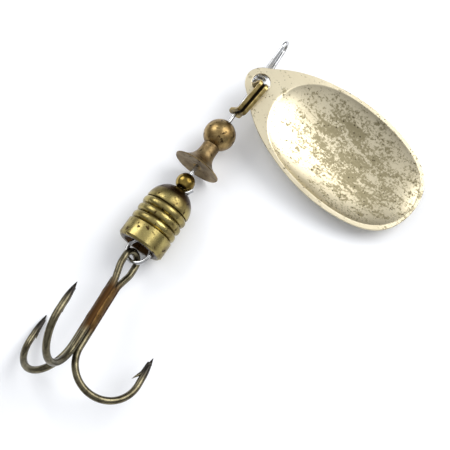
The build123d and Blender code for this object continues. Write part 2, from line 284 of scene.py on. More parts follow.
def drawn_wire(name, bright, dull):
    """Bright drawn spring steel: the smooth wire mirrors the room in thin lines along it.

    Grey films about 2.5 mm across dull it, and the die has left pits, drawn at 0.15 mm to show.
    """
    finish, tree, shader, where = start_metal(name, 0.2)
    patch = add(tree, "TexNoise", [("Vector", where), ("Scale", per(2.5)), ("Detail", 4)])
    dulled = add(tree, "MapRange", [("Value", patch), ("From Min", 0.4), ("From Max", 0.7)])
    colour = add(tree, "Mix", [(0, dulled), (6, linear(bright)), (7, linear(dull))], data_type="RGBA")
    matt = add(tree, "MapRange", [("Value", dulled), ("To Min", 0.16), ("To Max", 0.38)])
    pits = add(tree, "TexNoise", [("Vector", where), ("Scale", per(0.15)), ("Detail", 3)])
    relief = add(tree, "Bump", [("Height", pits), ("Strength", 0.15), ("Distance", 0.00002)])
    tree.links.new(colour, shader.inputs["Base Color"])
    tree.links.new(matt, shader.inputs["Roughness"])
    tree.links.new(relief, shader.inputs["Normal"])
    return finish


def rolled(points, angle):
    """Flat (x, y) points set in space and rolled about the wire by an angle."""
    x, y = np.asarray(points, float).T
    return np.stack([x, y * np.cos(angle), y * np.sin(angle)], 1)


ring_x = body_tail_x - ring_sink
neck_drop = ring_neck_r + strand_pitch / 2
neck_run = sqrt((ring_r + ring_neck_r) ** 2 - neck_drop**2)
neck_lean = np.degrees(atan2(neck_drop, neck_run))
neck_x = ring_x + neck_run
tag_path_r = small_bead_d / 2 + tag_gap + wire_r
tag_turn = asin((strand_pitch + tag_bend_r) / (tag_path_r + tag_bend_r))
tag_x = small_bead_x - (tag_path_r + tag_bend_r) * np.cos(tag_turn)
tag_turn = np.degrees(tag_turn)
rear = np.vstack(
    [
        [(loop_start - loop_root, 0)],
        arc((neck_x, ring_neck_r), ring_neck_r, -90, neck_lean - 90),
        arc((ring_x, -strand_pitch / 2), ring_r, neck_lean, 360 - 2 * neck_lean),
        arc((neck_x, -strand_pitch - ring_neck_r), ring_neck_r, 180 - neck_lean, neck_lean - 90),
        arc((tag_x, -strand_pitch - tag_bend_r), tag_bend_r, 90, tag_turn - 90),
        arc((small_bead_x, 0), tag_path_r, 180 + tag_turn, tag_end_angle - tag_turn),
    ]
)
loop_up = np.array([0, -np.sin(loop_roll), np.cos(loop_roll)])
loop_side = np.array([0, -np.cos(loop_roll), -np.sin(loop_roll)])
loop_tip = loop_start + loop_length
# corners of the loop: along the wire, up in the loop's plane and out to its side
loop_corners = [
    (loop_start - loop_root, 0, 0),
    (loop_start, 0, 0),
    (loop_tip, loop_width / 2, 0),
    (loop_tip, -loop_width / 2, strand_pitch / 2),
    (loop_start, 0, strand_pitch),
    (wrap_front + wire_r, 0, strand_pitch),
]
loop_axes = np.array([(1, 0, 0), loop_up, loop_side])
loop_path = rounded(loop_corners, [loop_ease, loop_bend, loop_bend, loop_ease]) @ loop_axes
# a helix of one strand's pitch a turn, back along the wire from the end of the loop
wrap_angle = np.linspace(0, 2 * pi * wrap_turns, 60 * wrap_turns)[:, None]
wrap_path = strand_pitch * (np.cos(wrap_angle) * loop_side + np.sin(wrap_angle) * loop_up)
wrap_path[:, 0] = wrap_front - strand_pitch * wrap_angle[:, 0] / (2 * pi)
wire_path = np.vstack([rolled(rear, ring_roll)[::-1], loop_path, wrap_path])
wire = surface("spring_wire", tube(even(wire_path, 0.14, soften=2), wire_r, around=22))
wire.data.materials.append(drawn_wire("drawn_spring_steel", "#C9CACB", "#8E8C88"))
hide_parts("wire_shaft")
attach(wire, "shaft")

# ---- ball ----
# A solid brass ball, turned and drilled, browned with age: bare metal shows where it is rubbed,
# and dark brown spots sit in the pits.
ball_d = 7.0
bore_clear = 0.08
bore_r = wire_r + bore_clear
bore_edge = 0.15  # the softened edge of a bore


def lathe(profile, around=96):
    """A profile of (x, radius) turned round the wire: each point is (x, r cos a, r sin a)."""
    x, r = np.asarray(profile, float).T
    angle = np.linspace(0, 2 * pi, around, endpoint=False)
    ones = np.ones_like(angle)
    return np.stack([np.outer(x, ones), np.outer(r, np.cos(angle)), np.outer(r, np.sin(angle))], -1)


def drilled_ball(diameter, x, count=60):
    """Profile of a ball with a bore: a half circle stopped at the bore, and the bore's wall."""
    radius = diameter / 2
    stop = asin((bore_r + bore_edge / 2) / radius)
    angle = np.linspace(stop, pi - stop, count)
    outside = np.stack([x + radius * np.cos(angle), radius * np.sin(angle)], 1)
    face = sqrt(radius**2 - bore_r**2) - bore_edge
    wall = np.stack([np.linspace(x - face, x + face, 12), np.full(12, bore_r)], 1)
    return np.vstack([outside, wall])


def aged_brass(name, bright, dull, spot, polish, spots, floor_r=0.0, crest_r=0.0, lines=0.0):
    """Turned brass, tarnished by handling and water, so that its shine comes and goes.

    Bright metal dulls in patches of 3 mm. Spots of about 1 mm, more of them as spots rises, and
    specks of 0.3 mm are dark and matt. A groove darkens to the spot colour, fading out from floor_r
    to crest_r from the wire. lines is the strength of the turning marks, drawn at 0.25 mm to show.
    """
    finish, tree, shader, where = start_metal(name, polish)
    blot = add(
        tree, "TexNoise",
        [("Vector", where), ("Scale", per(3.2)), ("Detail", 5), ("Roughness", 0.62)],
    )
    dulled = add(tree, "MapRange", [("Value", blot), ("From Min", 0.38), ("From Max", 0.66)])
    base = add(tree, "Mix", [(0, dulled), (6, linear(bright)), (7, linear(dull))], data_type="RGBA")
    spot_noise = add(
        tree, "TexNoise",
        [("Vector", where), ("Scale", per(1.3)), ("Detail", 3), ("Distortion", 0.4)],
    )
    spotted = add(
        tree, "MapRange",
        [("Value", spot_noise), ("From Min", 0.72 - spots), ("From Max", 0.80 - spots)],
    )
    speck_noise = add(tree, "TexNoise", [("Vector", where), ("Scale", per(0.35)), ("Detail", 2)])
    specked = add(tree, "MapRange", [("Value", speck_noise), ("From Min", 0.66), ("From Max", 0.74)])
    marks = add(tree, "Math", [(0, spotted), (1, specked)], operation="MAXIMUM", use_clamp=True)
    colour = add(tree, "Mix", [(0, marks), (6, base), (7, linear(spot))], data_type="RGBA")
    matt = add(tree, "MapRange", [("Value", dulled), ("To Min", polish), ("To Max", polish + 0.14)])
    rough = add(tree, "Math", [(0, marks), (1, 0.25), (2, matt)], operation="MULTIPLY_ADD")
    # the colour darkens to the spot colour towards the groove floors, from crest_r down to floor_r
    if crest_r > floor_r:
        wire_line = (0, -ball_centre[1], -ball_centre[2])
        radial = add(tree, "Mapping", [("Vector", where), ("Location", wire_line), ("Scale", (0, 1, 1))])
        radius = add(tree, "VectorMath", [(0, radial)], operation="LENGTH")
        undarkened = add(
            tree, "MapRange",
            [("Value", radius), ("From Min", floor_r / 1000), ("From Max", crest_r / 1000)],
        )
        colour = add(tree, "Mix", [(0, undarkened), (6, linear(spot)), (7, colour)], data_type="RGBA")
    tree.links.new(colour, shader.inputs["Base Color"])
    tree.links.new(rough, shader.inputs["Roughness"])
    turning = add(tree, "Mapping", [("Vector", where), ("Scale", (per(0.25), per(8), per(8)))])
    ridges = add(tree, "TexNoise", [("Vector", turning), ("Scale", 1), ("Detail", 2)])
    cut = add(tree, "Bump", [("Height", ridges), ("Strength", lines), ("Distance", 0.00003)])
    dents = add(
        tree, "Bump",
        [("Height", blot), ("Strength", 0.35), ("Distance", 0.00008), ("Normal", cut)],
    )
    pits = add(
        tree, "Bump",
        [("Height", marks), ("Strength", 0.5), ("Distance", 0.00003), ("Normal", dents)],
        invert=True,
    )
    tree.links.new(pits, shader.inputs["Normal"])
    return finish


ball = surface("ball_bead_brass", lathe(drilled_ball(ball_d, 0)), loop=True)
ball.data.materials.append(
    aged_brass("browned_brass_ball", "#AE9564", "#6A5433", "#2A1B0C", 0.27, 0.13, lines=0.15)
)
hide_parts("ball_bead")
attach(ball, "ball")

# ---- bell collar ----
# A collar turned from brass bar: a cup that the ball sits in, a narrow throat and a thin flared
# rim with an almost flat back. It is the brownest and dullest piece.
bell_rim_r = 5.3
bell_neck_r = 1.9
bell_lip = 0.18  # straight neck between the cup's edge and the flare
bell_length = 5.7
bell_throat = 3.5  # length over which the throat has grown by only bell_throat_rise
bell_throat_rise = 0.65
bell_edge = 0.20  # thickness of the rim
bell_hub_r = 1.05
bell_dish = 0.30  # how far the back sinks from the rim to the hub
bell_back_bends = [0.05, 0.3, 0.2]  # at the rim, the hub and the bore
seat_gap = 0.10
cup_r = ball_d / 2 + seat_gap
bell_neck_x = -sqrt(cup_r**2 - bell_neck_r**2) - bell_lip
bell_rim_x = bell_neck_x - bell_length
# the outside is a power of the way along it, chosen to pass through the end of the throat
flare = np.linspace(0, 1, 48)
throat_share = bell_throat / (bell_length - bell_edge)
flare_power = np.log(bell_throat_rise / (bell_rim_r - bell_neck_r)) / np.log(throat_share)
bell_outside = np.stack(
    [
        bell_neck_x - flare * (bell_length - bell_edge),
        bell_neck_r + (bell_rim_r - bell_neck_r) * flare**flare_power,
    ],
    1,
)
bell_back = rounded(
    [
        (bell_rim_x + bell_edge, bell_rim_r),
        (bell_rim_x, bell_rim_r - bell_edge / 2),
        (bell_rim_x + bell_dish, bell_hub_r),
        (bell_rim_x + 3 * bell_dish, bore_r),
        (-cup_r - bell_edge / 2, bore_r),
    ],
    bell_back_bends,
)
cup_angle = np.linspace(asin(bore_r / cup_r), asin(bell_neck_r / cup_r), 20)
bell_cup = np.stack([-cup_r * np.cos(cup_angle), cup_r * np.sin(cup_angle)], 1)
bell = surface("bell_collar_brass", lathe(np.vstack([bell_outside, bell_back[1:], bell_cup])), loop=True)
bell.data.materials.append(
    aged_brass("dull_brown_brass", "#98835C", "#665338", "#2B1E10", 0.36, 0.08, lines=0.35)
)
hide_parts("bell_collar")
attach(bell, "bell")

# ---- small bead ----
# A small turned brass bead that spaces the collar from the weight. It stays the most polished.
bead = surface("small_bead_brass", lathe(drilled_ball(small_bead_d, small_bead_x)), loop=True)
bead.data.materials.append(
    aged_brass("polished_olive_brass", "#A28A48", "#5C4A1E", "#2A1F0C", 0.17, 0.06, lines=0.1)
)
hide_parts("small_bead")
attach(bead, "bead")

# ---- weight ----
# The lure's weight, turned from solid brass bar: a plain tail band with a recess for the wire's
# ring, three rounded ribs and a dome dished for the end of the wire. Its grooves are coloured darker.
body_r = 5.18
body_length = 15.2
dome_r = 5.0
body_rib_r = 5.15
groove_depth = 0.62
band_length = 4.0
tail_chamfer = 0.45
tail_bends = [0.3, 0.06, 0.08, 0.12, 0.09]  # from the recess's bottom out to the first groove
rib_count = 3
rib_zone = 5.9  # from the first rib to the dome
rib_tail = 0.20  # plain groove left in front of the last rib
rib_square = 2.6  # 2 makes a rib's section a parabola, and more makes it squarer
dome_edge = 0.15
dome_edge_drop = 0.12
dome_ease = 0.1
dome_start = pi / 2 - 0.03
twin_clear = 0.15  # round the two strands and the ring
recess_gap = 0.20
recess_taper = 0.80  # share of the recess that is a cone
groove_r = body_r - groove_depth
dome_x = body_length - dome_r
rib_x = dome_x - rib_zone
rib_pitch = (rib_zone - rib_tail) / rib_count
twin_bore_r = strand_pitch + wire_r + twin_clear
recess_r = ring_r + strand_pitch / 2 + wire_r + twin_clear
recess = ring_r + ring_neck_r + recess_gap
dish_r = tag_path_r + wire_r + tag_gap
dish_x = small_bead_x - body_tail_x
tail = rounded(
    [
        (recess, twin_bore_r),
        (recess * recess_taper, twin_bore_r),
        (0, recess_r),
        (0, body_r - tail_chamfer),
        (tail_chamfer, body_r),
        (band_length, body_r),
        (rib_x, groove_r),
    ],
    tail_bends,
)
across_rib = np.linspace(0, 1, 26)[1:]
rib_bulge = (1 - np.abs(2 * across_rib - 1) ** rib_square) * (body_rib_r - groove_r) + groove_r
ribs = [np.stack([rib_x + (i + across_rib) * rib_pitch, rib_bulge], 1) for i in range(rib_count)]
dome_lip = rounded(
    [
        (dome_x - rib_tail, groove_r),
        (dome_x - dome_edge, dome_r - dome_edge_drop),
        (dome_x + dome_ease, dome_r),
    ],
    [0.08],
)
# the dome meets the dish where both spheres have the same x
meet_x = (dome_r**2 - dish_r**2 - dome_x**2 + dish_x**2) / (2 * (dish_x - dome_x))
meet_angle = np.arccos((meet_x - dome_x) / dome_r)
dome_angle = np.linspace(dome_start, meet_angle, 50)
dome = np.stack([dome_x + dome_r * np.cos(dome_angle), dome_r * np.sin(dome_angle)], 1)
dish_from = atan2(dome[-1, 1], dish_x - dome[-1, 0])
dish_angle = np.linspace(dish_from, asin(twin_bore_r / dish_r), 16)[1:]
dish = np.stack([dish_x - dish_r * np.cos(dish_angle), dish_r * np.sin(dish_angle)], 1)
body_profile = np.vstack([tail, *ribs, dome_lip[1:], dome[1:], dish])
body_profile[:, 0] += body_tail_x
weight = surface("ribbed_weight_brass", lathe(body_profile, around=128), loop=True, sharp=50)
weight.data.materials.append(
    aged_brass(
        "turned_olive_brass",
        "#A89A62",
        "#75673E",
        "#3A2814",
        0.24,
        0.12,
        floor_r=groove_r - 0.35,
        crest_r=groove_r + 0.30,
        lines=0.3,
    )
)
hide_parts("body_weight")
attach(weight, "weight")

# ---- clevis ----
# A strip of brass, pressed with a channel down its outside and bent to a bow: two round ears
# drilled for the wire and a turn that passes through the blade's hole. Its channel has near black painted
# shade.
strip_t = 0.60
ear_half = 1.55  # half width of the round ears
waist_half = 1.15  # half width of the bow
ear_end = 1.50  # how far the ears reach past the wire
ear_neck = 1.6  # below the shoulder, where an ear has narrowed to the waist
ear_hole_r = 0.63
clevis_rear_x = 6.34
clevis_front_x = 13.5
clevis_lead = 0.35  # how far the bow's top leans ahead of its front ear
clevis_nip = 1.2
clevis_shoulder_h = 3.25
clevis_top_h = 5.7
clevis_bends = [0.8, 0.9, 1.0]
clevis_roll = np.radians(29)  # of the whole clevis about the wire
channel_half = 0.42
channel_depth = 0.28
clevis_up = np.array([0, -np.sin(clevis_roll), np.cos(clevis_roll)])
clevis_side = np.array([0, -np.cos(clevis_roll), -np.sin(clevis_roll)])
bow_corners = [
    (clevis_rear_x, -ear_end),
    (clevis_rear_x, clevis_shoulder_h),
    (clevis_front_x + clevis_lead, clevis_top_h),
    (clevis_front_x, clevis_shoulder_h - clevis_nip),
    (clevis_front_x, -ear_end),
]


def strip(path, half_width, thickness, groove_half, groove):
    """A strip bent along a flat path of (x, height): its section is a rectangle with soft edges.

    At a point of the section, across is a share of half_width, fixed a share of groove_half, sink
    a share of groove, and level is 1 on the outer face and -1 on the inner one.
    """
    tangent = np.gradient(path, axis=0)
    tangent /= np.linalg.norm(tangent, axis=1)[:, None]
    outward = np.stack([-tangent[:, 1], tangent[:, 0]], 1)
    soft, half_t = 0.10, thickness / 2
    across = np.array([-1, -1, -0.97, 0, 0, 0, 0, 0, 0, 0.97, 1, 1, 1, 0.97, 0.3, -0.3, -0.97, -1])
    fixed = np.array([0, 0, 0, -1.15, -0.8, -0.5, 0.5, 0.8, 1.15, 0, 0, 0, 0, 0, 0, 0, 0, 0])
    sink = np.array([0, 0, 0, 0, 0.55, 1, 1, 0.55, 0, 0, 0, 0, 0, 0, 0, 0, 0, 0])
    level = np.array([0, 1, 1, 1, 1, 1, 1, 1, 1, 1, 1, 0, 0, -1, -1, -1, -1, -1])
    level = level * half_t - np.sign(level) * soft * (np.abs(across) == 1) - sink * groove
    side = half_width[:, None] * across + fixed * groove_half
    flat = path[:, None] + level[:, None] * outward[:, None]
    grid = flat[..., :1] * np.array([1, 0, 0]) + flat[..., 1:] * clevis_up
    grid = grid + side[..., None] * clevis_side
    ends = [np.broadcast_to(row.mean(0), row.shape)[None] for row in (grid[0], grid[-1])]
    return np.concatenate([ends[0], grid, ends[1]])


bow = even(rounded(bow_corners, clevis_bends), 0.12)
bow_h = bow[:, 1]
neck_h = clevis_shoulder_h - ear_neck
# an ear is a half circle past the wire, and tapers to the waist on the other side of it
ear_round = np.sqrt(np.maximum(ear_half**2 - np.minimum(bow_h, 0) ** 2, 0.15))
ear_taper = np.interp(bow_h, [0, neck_h], [ear_half, waist_half])
bow_half = np.where(bow_h < 0, ear_round, ear_taper)
clevis = surface("clevis_strip", strip(bow, bow_half, strip_t, channel_half, channel_depth), sharp=40)
drill_line = np.array([(x, 0.0, 0.0) for x in (clevis_rear_x - 2, 10, clevis_front_x + 2)])
drill = surface("drill", tube(drill_line, ear_hole_r))
cut = clevis.modifiers.new("ear_holes", "BOOLEAN")
cut.object = drill
cut.operation = "DIFFERENCE"
cut.solver = "EXACT"
drilled = bpy.data.meshes.new_from_object(clevis.evaluated_get(bpy.context.evaluated_depsgraph_get()))
clevis.modifiers.clear()
clevis.data = drilled
drilled.name = "clevis_strip"
bpy.data.objects.remove(drill)


def channelled_brass(name, bright, dull, channel_shade):
    """Pressed brass strip: satin, gone olive in patches of 2 mm.

    Painted shade lies in the channel, along the strip's middle line, where it is matt and near black.
    """
    finish, tree, shader, where = start_metal(name, 0.3)
    blot = add(
        tree, "TexNoise",
        [("Vector", where), ("Scale", per(1.8)), ("Detail", 5), ("Roughness", 0.65)],
    )
    dulled = add(tree, "MapRange", [("Value", blot), ("From Min", 0.36), ("From Max", 0.62)])
    base = add(tree, "Mix", [(0, dulled), (6, linear(bright)), (7, linear(dull))], data_type="RGBA")
    side_way = add(tree, "VectorMath", [(0, where), (1, tuple(ball_centre))], operation="SUBTRACT")
    off_middle = add(
        tree, "VectorMath",
        [(0, side_way), (1, tuple(clevis_side))],
        operation="DOT_PRODUCT",
    )
    away = add(tree, "Math", [(0, off_middle)], operation="ABSOLUTE")
    # painted shade: the channel along the strip's middle line is coloured near black
    undarkened = add(tree, "MapRange", [("Value", away), ("From Min", 0.00022), ("From Max", 0.00046)])
    colour = add(tree, "Mix", [(0, undarkened), (6, linear(channel_shade)), (7, base)], data_type="RGBA")
    matt = add(tree, "MapRange", [("Value", undarkened), ("To Min", 0.7), ("To Max", 0.3)])
    relief = add(tree, "Bump", [("Height", blot), ("Strength", 0.5), ("Distance", 0.00006)])
    tree.links.new(colour, shader.inputs["Base Color"])
    tree.links.new(matt, shader.inputs["Roughness"])
    tree.links.new(relief, shader.inputs["Normal"])
    return finish


# this material alone, whatever slots the cut has left
clevis.data.materials.clear()
# the last colour is the near black painted shade of the channel
clevis.data.materials.append(channelled_brass("tarnished_brass_painted_channel_shade", "#B5A06A", "#77663A", "#17110A"))
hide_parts("clevis")
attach(clevis, "clevis")

# ---- blade ----
# A spoon blade pressed from brass sheet and plated: a flat flange with the hole, a narrow rim
# and a shallow bowl. The plate is polished, and worn, spotted and scratched in the bowl.
blade_length = 45.9
blade_width = 24.5
blade_t = 0.60
blade_hole_r = 2.0
hole_to_nose = 3.33
nose_r = 3.6
blade_lean = 0.20  # how much wider the outline is towards its far end
blade_pinch = 0.30  # how much its shoulders are drawn in
blade_widest = 1.015  # greatest half width of the outline, over that at its middle
outline_blend = 0.35  # over which the nose's circle runs into the egg
bowl_start = 5.1  # from the hole
bowl_rim = 0.7  # from the bowl to the outline
bowl_full = 0.20  # how much fuller than an ellipse the bowl is
bowl_depth = 3.2
bowl_flat = 2.2  # 2 makes its middle a sphere's, and more makes it flatter
bowl_steep = 0.78  # 0.5 makes its side square at the rim, and 1 makes it slope
bowl_ease = 0.03
bowl_scale = 0.96  # share of its depth that those three leave
bowl_reach = 4.4  # the CAD bowl's depth, which sets how the blade leans
bowl_middle = 0.56  # where the CAD bowl is deepest, as a share of its length
hole_ahead = 0.80  # of the clevis's front ear
hole_h = 2.66  # up the clevis
floor_gap = 0.05
blade_yaw, blade_roll = np.radians((-98.4, 2.0))
table_z = -ball_centre[2] * 1000
blade_hole = np.array([clevis_front_x + hole_ahead, 0, 0]) + hole_h * clevis_up
deepest = bowl_start + bowl_middle * (blade_length - hole_to_nose - bowl_start)
blade_pitch = asin((blade_hole[2] - table_z - floor_gap - bowl_reach - blade_t) / deepest)
blade_along = np.array(
    [
        np.cos(blade_yaw) * np.cos(blade_pitch),
        np.sin(blade_yaw) * np.cos(blade_pitch),
        -np.sin(blade_pitch),
    ]
)
blade_level = np.array([-np.sin(blade_yaw), np.cos(blade_yaw), 0])
blade_lift = np.cross(blade_along, blade_level)
blade_across = blade_level * np.cos(blade_roll) + blade_lift * np.sin(blade_roll)
blade_out = np.cross(blade_along, blade_across)
blade_axes = np.array([blade_along, blade_across, blade_out])


def egg_radius(angle):
    """Distance from the hole's centre to the blade's outline in a direction.

    It is the smooth greater of two: an egg of half width w/2 sin a (1 - lean cos a - pinch cos^5 a)
    at length l/2 (1 - cos a) from the nose, and the circle of the nose.
    """
    a = np.linspace(0, pi, 2000)
    swell = 1 - blade_lean * np.cos(a) - blade_pinch * np.cos(a) ** 5
    x = blade_length * (1 - np.cos(a)) / 2 - hole_to_nose
    y = blade_width / 2 * np.sin(a) * swell / blade_widest
    egg = np.interp(angle, np.arctan2(y, x)[::-1], np.hypot(x, y)[::-1])
    nose_x = nose_r - hole_to_nose
    nose = nose_x * np.cos(angle) + np.sqrt(nose_r**2 - (nose_x * np.sin(angle)) ** 2)
    return outline_blend * np.logaddexp(egg / outline_blend, nose / outline_blend)


def bowl_shape(x, y):
    """How deep the bowl is: almost flat in its middle and steep at its rim, where it is softened.

    rho is 0 in the middle and 1 at the rim, an oval of half width w/2 sin a (1 + full cos^2 a).
    The depth is (1 - rho^flat)^steep of the whole, eased where it comes near nothing.
    """
    length = blade_length - hole_to_nose - bowl_start - bowl_rim
    half_w = (blade_width / 2 - bowl_rim) / blade_widest
    run = (x - bowl_start - length / 2) / (length / 2)
    rho = np.hypot(run, y / (half_w * (1 + bowl_full * np.minimum(run**2, 1))))
    inside = 1 - rho**bowl_flat
    eased = 0.5 * (inside + np.sqrt(inside**2 + bowl_ease**2))
    share = np.maximum(eased**bowl_steep - (bowl_ease / 2) ** bowl_steep, 0)
    return bowl_depth * share / bowl_scale


turn = np.linspace(-pi, pi, 2000)
outline_r = egg_radius(np.abs(turn))
outline_step = np.hypot(np.diff(outline_r), outline_r[1:] * np.diff(turn))
outline_run = np.concatenate([[0], np.cumsum(outline_step)])
# columns run out from the hole: three parts evenly along the outline to one evenly round the hole
columns = 300
by_run = np.interp(np.linspace(0, outline_run[-1], columns, endpoint=False), outline_run, turn)
by_turn = np.linspace(-pi, pi, columns, endpoint=False)
column_turn = 0.75 * by_run + 0.25 * by_turn
column_r = egg_radius(np.abs(column_turn))
# rows go round the hole, and are closer towards the outline, where the bowl is steep
rows = 1 - (1 - np.linspace(0, 1, 140)) ** 1.35
edge_h = blade_t / 2
edge_w = edge_h / 2
inner_r = blade_hole_r + edge_w
outer_r = column_r - edge_w
reach = inner_r + np.outer(rows, outer_r - inner_r)
along, across = reach * np.cos(column_turn), reach * np.sin(column_turn)
face = np.stack([along, across, edge_h - bowl_shape(along, across)], -1)
back = face - np.array([0, 0, blade_t])
# the rim and the hole's lip are half ovals from the face to the back
round_angle = np.linspace(pi / 2, -pi / 2, 7)[1:-1, None]
rim_r = outer_r + edge_w * np.cos(round_angle)
rim_z = edge_h * np.sin(round_angle) + (face[-1, :, 2] - edge_h)
rim = np.stack([rim_r * np.cos(column_turn), rim_r * np.sin(column_turn), rim_z], -1)
lip_r = inner_r - edge_w * np.cos(round_angle[::-1]) * np.ones(columns)
lip_z = edge_h * np.sin(round_angle[::-1]) * np.ones(columns)
lip = np.stack([lip_r * np.cos(column_turn), lip_r * np.sin(column_turn), lip_z], -1)
blade_grid = np.concatenate([face, rim, back[::-1], lip]) @ blade_axes + blade_hole
blade = surface("spoon_blade", blade_grid, loop=True, sharp=60)


def worn_plate(name):
    """Polished silver plate over brass: pale, warm and softly bright, and cleaner on the flange.

    In the bowl it has gone olive grey in clouds of 2 to 4 mm, broken by grains of 0.55 mm. Dark
    specks, one to each 0.85 mm, grow to half a millimetre where the clouds are thick. Scratches
    0.2 mm wide cross it on the slant, wider than real ones to show.
    """
    finish, tree, shader, where = start_metal(name, 0.2)
    centred = add(tree, "VectorMath", [(0, where), (1, tuple(place(blade_hole)))], operation="SUBTRACT")
    ways = []
    for way in blade_axes:
        way = tuple(way * 1000)
        ways.append(add(tree, "VectorMath", [(0, centred), (1, way)], operation="DOT_PRODUCT"))
    # x is along the blade, y across it and z out of it, in millimetres from the hole
    flat = add(tree, "CombineXYZ", [(0, ways[0]), (1, ways[1]), (2, ways[2])])
    # the wear is heaviest in an oval about this point, 17 mm and 9.5 mm from it to its edge
    heart_x, heart_y, heart_length, heart_width = 26.0, 1.0, 17, 9.5
    heart = add(
        tree, "Mapping",
        [
            ("Vector", flat),
            ("Location", (-heart_x / heart_length, -heart_y / heart_width, 0)),
            ("Scale", (1 / heart_length, 1 / heart_width, 0)),
        ],
    )
    from_heart = add(tree, "VectorMath", [(0, heart)], operation="LENGTH")
    worn_zone = add(tree, "MapRange", [("Value", from_heart), ("From Min", 1.35), ("From Max", 0.45)])
    streak = add(
        tree, "Mapping",
        [("Vector", flat), ("Rotation", (0, 0, np.radians(-38))), ("Scale", (1 / 4.0, 1 / 2.0, 0.3))],
    )
    cloud = add(
        tree, "TexNoise",
        [("Vector", streak), ("Scale", 1), ("Detail", 7), ("Roughness", 0.68), ("Distortion", 0.6)],
    )
    grain = add(
        tree, "TexNoise",
        [("Vector", flat), ("Scale", 1 / 0.55), ("Detail", 4), ("Roughness", 0.7)],
    )
    grainy = add(tree, "Math", [(0, grain), (1, 0.9), (2, -0.45)], operation="MULTIPLY_ADD")
    cloudy = add(tree, "Math", [(0, cloud), (1, grainy)], operation="ADD")
    zone_shift = add(tree, "Math", [(0, worn_zone), (1, 0.22), (2, -0.15)], operation="MULTIPLY_ADD")
    wear_level = add(tree, "Math", [(0, cloudy), (1, zone_shift)], operation="ADD")
    worn = add(tree, "MapRange", [("Value", wear_level), ("From Min", 0.46), ("From Max", 0.58)])
    scratch_way = add(
        tree, "Mapping",
        [("Vector", flat), ("Rotation", (0, 0, np.radians(-52))), ("Scale", (1 / 6.0, 1 / 0.22, 0))],
    )
    scratch = add(
        tree, "TexNoise",
        [("Vector", scratch_way), ("Scale", 1), ("Detail", 2), ("Distortion", 0.25)],
    )
    scratched = add(tree, "MapRange", [("Value", scratch), ("From Min", 0.60), ("From Max", 0.72)])
    speck = add(tree, "TexVoronoi", [("Vector", flat), ("Scale", 1 / 0.85), ("Randomness", 1.0)])
    speck_size = add(
        tree, "MapRange",
        [("Value", cloud), ("From Min", 0.35), ("From Max", 0.7), ("To Min", 0.05), ("To Max", 0.27)],
    )
    speck_edge = add(tree, "Math", [(0, speck_size), (1, speck)], operation="SUBTRACT")
    specked = add(tree, "MapRange", [("Value", speck_edge), ("From Min", -0.02), ("From Max", 0.06)])
    tone_noise = add(tree, "TexNoise", [("Vector", flat), ("Scale", 1 / 9), ("Detail", 3)])
    tone = add(
        tree, "Mix",
        [(0, tone_noise), (6, linear("#DCD3B8")), (7, linear("#C6BA9C"))],
        data_type="RGBA",
    )
    tarnish = add(
        tree, "Mix",
        [(0, grain), (6, linear("#A0977A")), (7, linear("#81785C"))],
        data_type="RGBA",
    )
    clouded = add(tree, "Mix", [(0, worn), (6, tone), (7, tarnish)], data_type="RGBA")
    scratch_share = add(tree, "Math", [(0, scratched), (1, worn_zone)], operation="MULTIPLY")
    lined = add(tree, "Mix", [(0, scratch_share), (6, clouded), (7, linear("#8A8062"))], data_type="RGBA")
    dotted = add(tree, "Mix", [(0, specked), (6, lined), (7, linear("#5B5240"))], data_type="RGBA")
    matt = add(tree, "MapRange", [("Value", worn), ("To Min", 0.36), ("To Max", 0.52)])
    pitted = add(tree, "Math", [(0, specked), (1, 0.2), (2, matt)], operation="MULTIPLY_ADD")
    ripple = add(tree, "Bump", [("Height", tone_noise), ("Strength", 0.25), ("Distance", 0.0004)])
    scored = add(
        tree, "Bump",
        [("Height", scratch), ("Strength", 0.12), ("Distance", 0.00004), ("Normal", ripple)],
    )
    etched = add(
        tree, "Bump",
        [("Height", pitted), ("Strength", 0.3), ("Distance", 0.00004), ("Normal", scored)],
        invert=True,
    )
    tree.links.new(dotted, shader.inputs["Base Color"])
    tree.links.new(pitted, shader.inputs["Roughness"])
    tree.links.new(etched, shader.inputs["Normal"])
    return finish


blade.data.materials.append(worn_plate("worn_silver_plate"))
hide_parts("blade")
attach(blade, "blade")

# ---- treble hook ----
# Two wires of bronzed carbon steel: one bent into the eye with a prong at each end, the other
# a single prong brazed into the groove between them. Points are ground, barbs are cut and raised.
hook_wire_d = 1.45
hook_turn, hook_roll = np.radians((-172.6, -18.9))  # of the shank on the card, and about itself
strand_gap = 0.06
ring_gap = 0.75  # from the wire's ring to the inside of the eye
eye_r = 2.05
eye_length = 8.0
eye_shoulder = 3.2  # bends where the eye's sides come together
eye_shift = 0.2  # how far the eye hangs to one side of the ring
eye_turn = np.radians(142)  # of the eye's plane, round the shank from the first prong
shank_length = 23.8
bend_r = 6.8
point_leg = 6.3
point_taper = 4.4
point_tip_r = 0.04
point_rest = 0.08  # how far the lowest point's middle line stands off the card
barb_root = 2.9  # from the point
barb_back = 6.0
barb_reach = 1.75
barb_bend = 3.0
barb_r = 0.55
prong_join = 4.0  # shank that each prong of the double wire shares with the eye
second_prong_lag = 0.8
braze_start = 9.2
braze_length = 11.0
single_lead = 1.6  # of the third prong ahead of the brazing
hook_r = hook_wire_d / 2
strand_offset = hook_r + strand_gap / 2
single_offset = sqrt(3) * strand_offset + strand_gap / 2
eye_top = wire_r + ring_gap + 2 * hook_r
ring_apex = rolled([(ring_x - ring_r, -strand_pitch / 2)], ring_roll)[0]
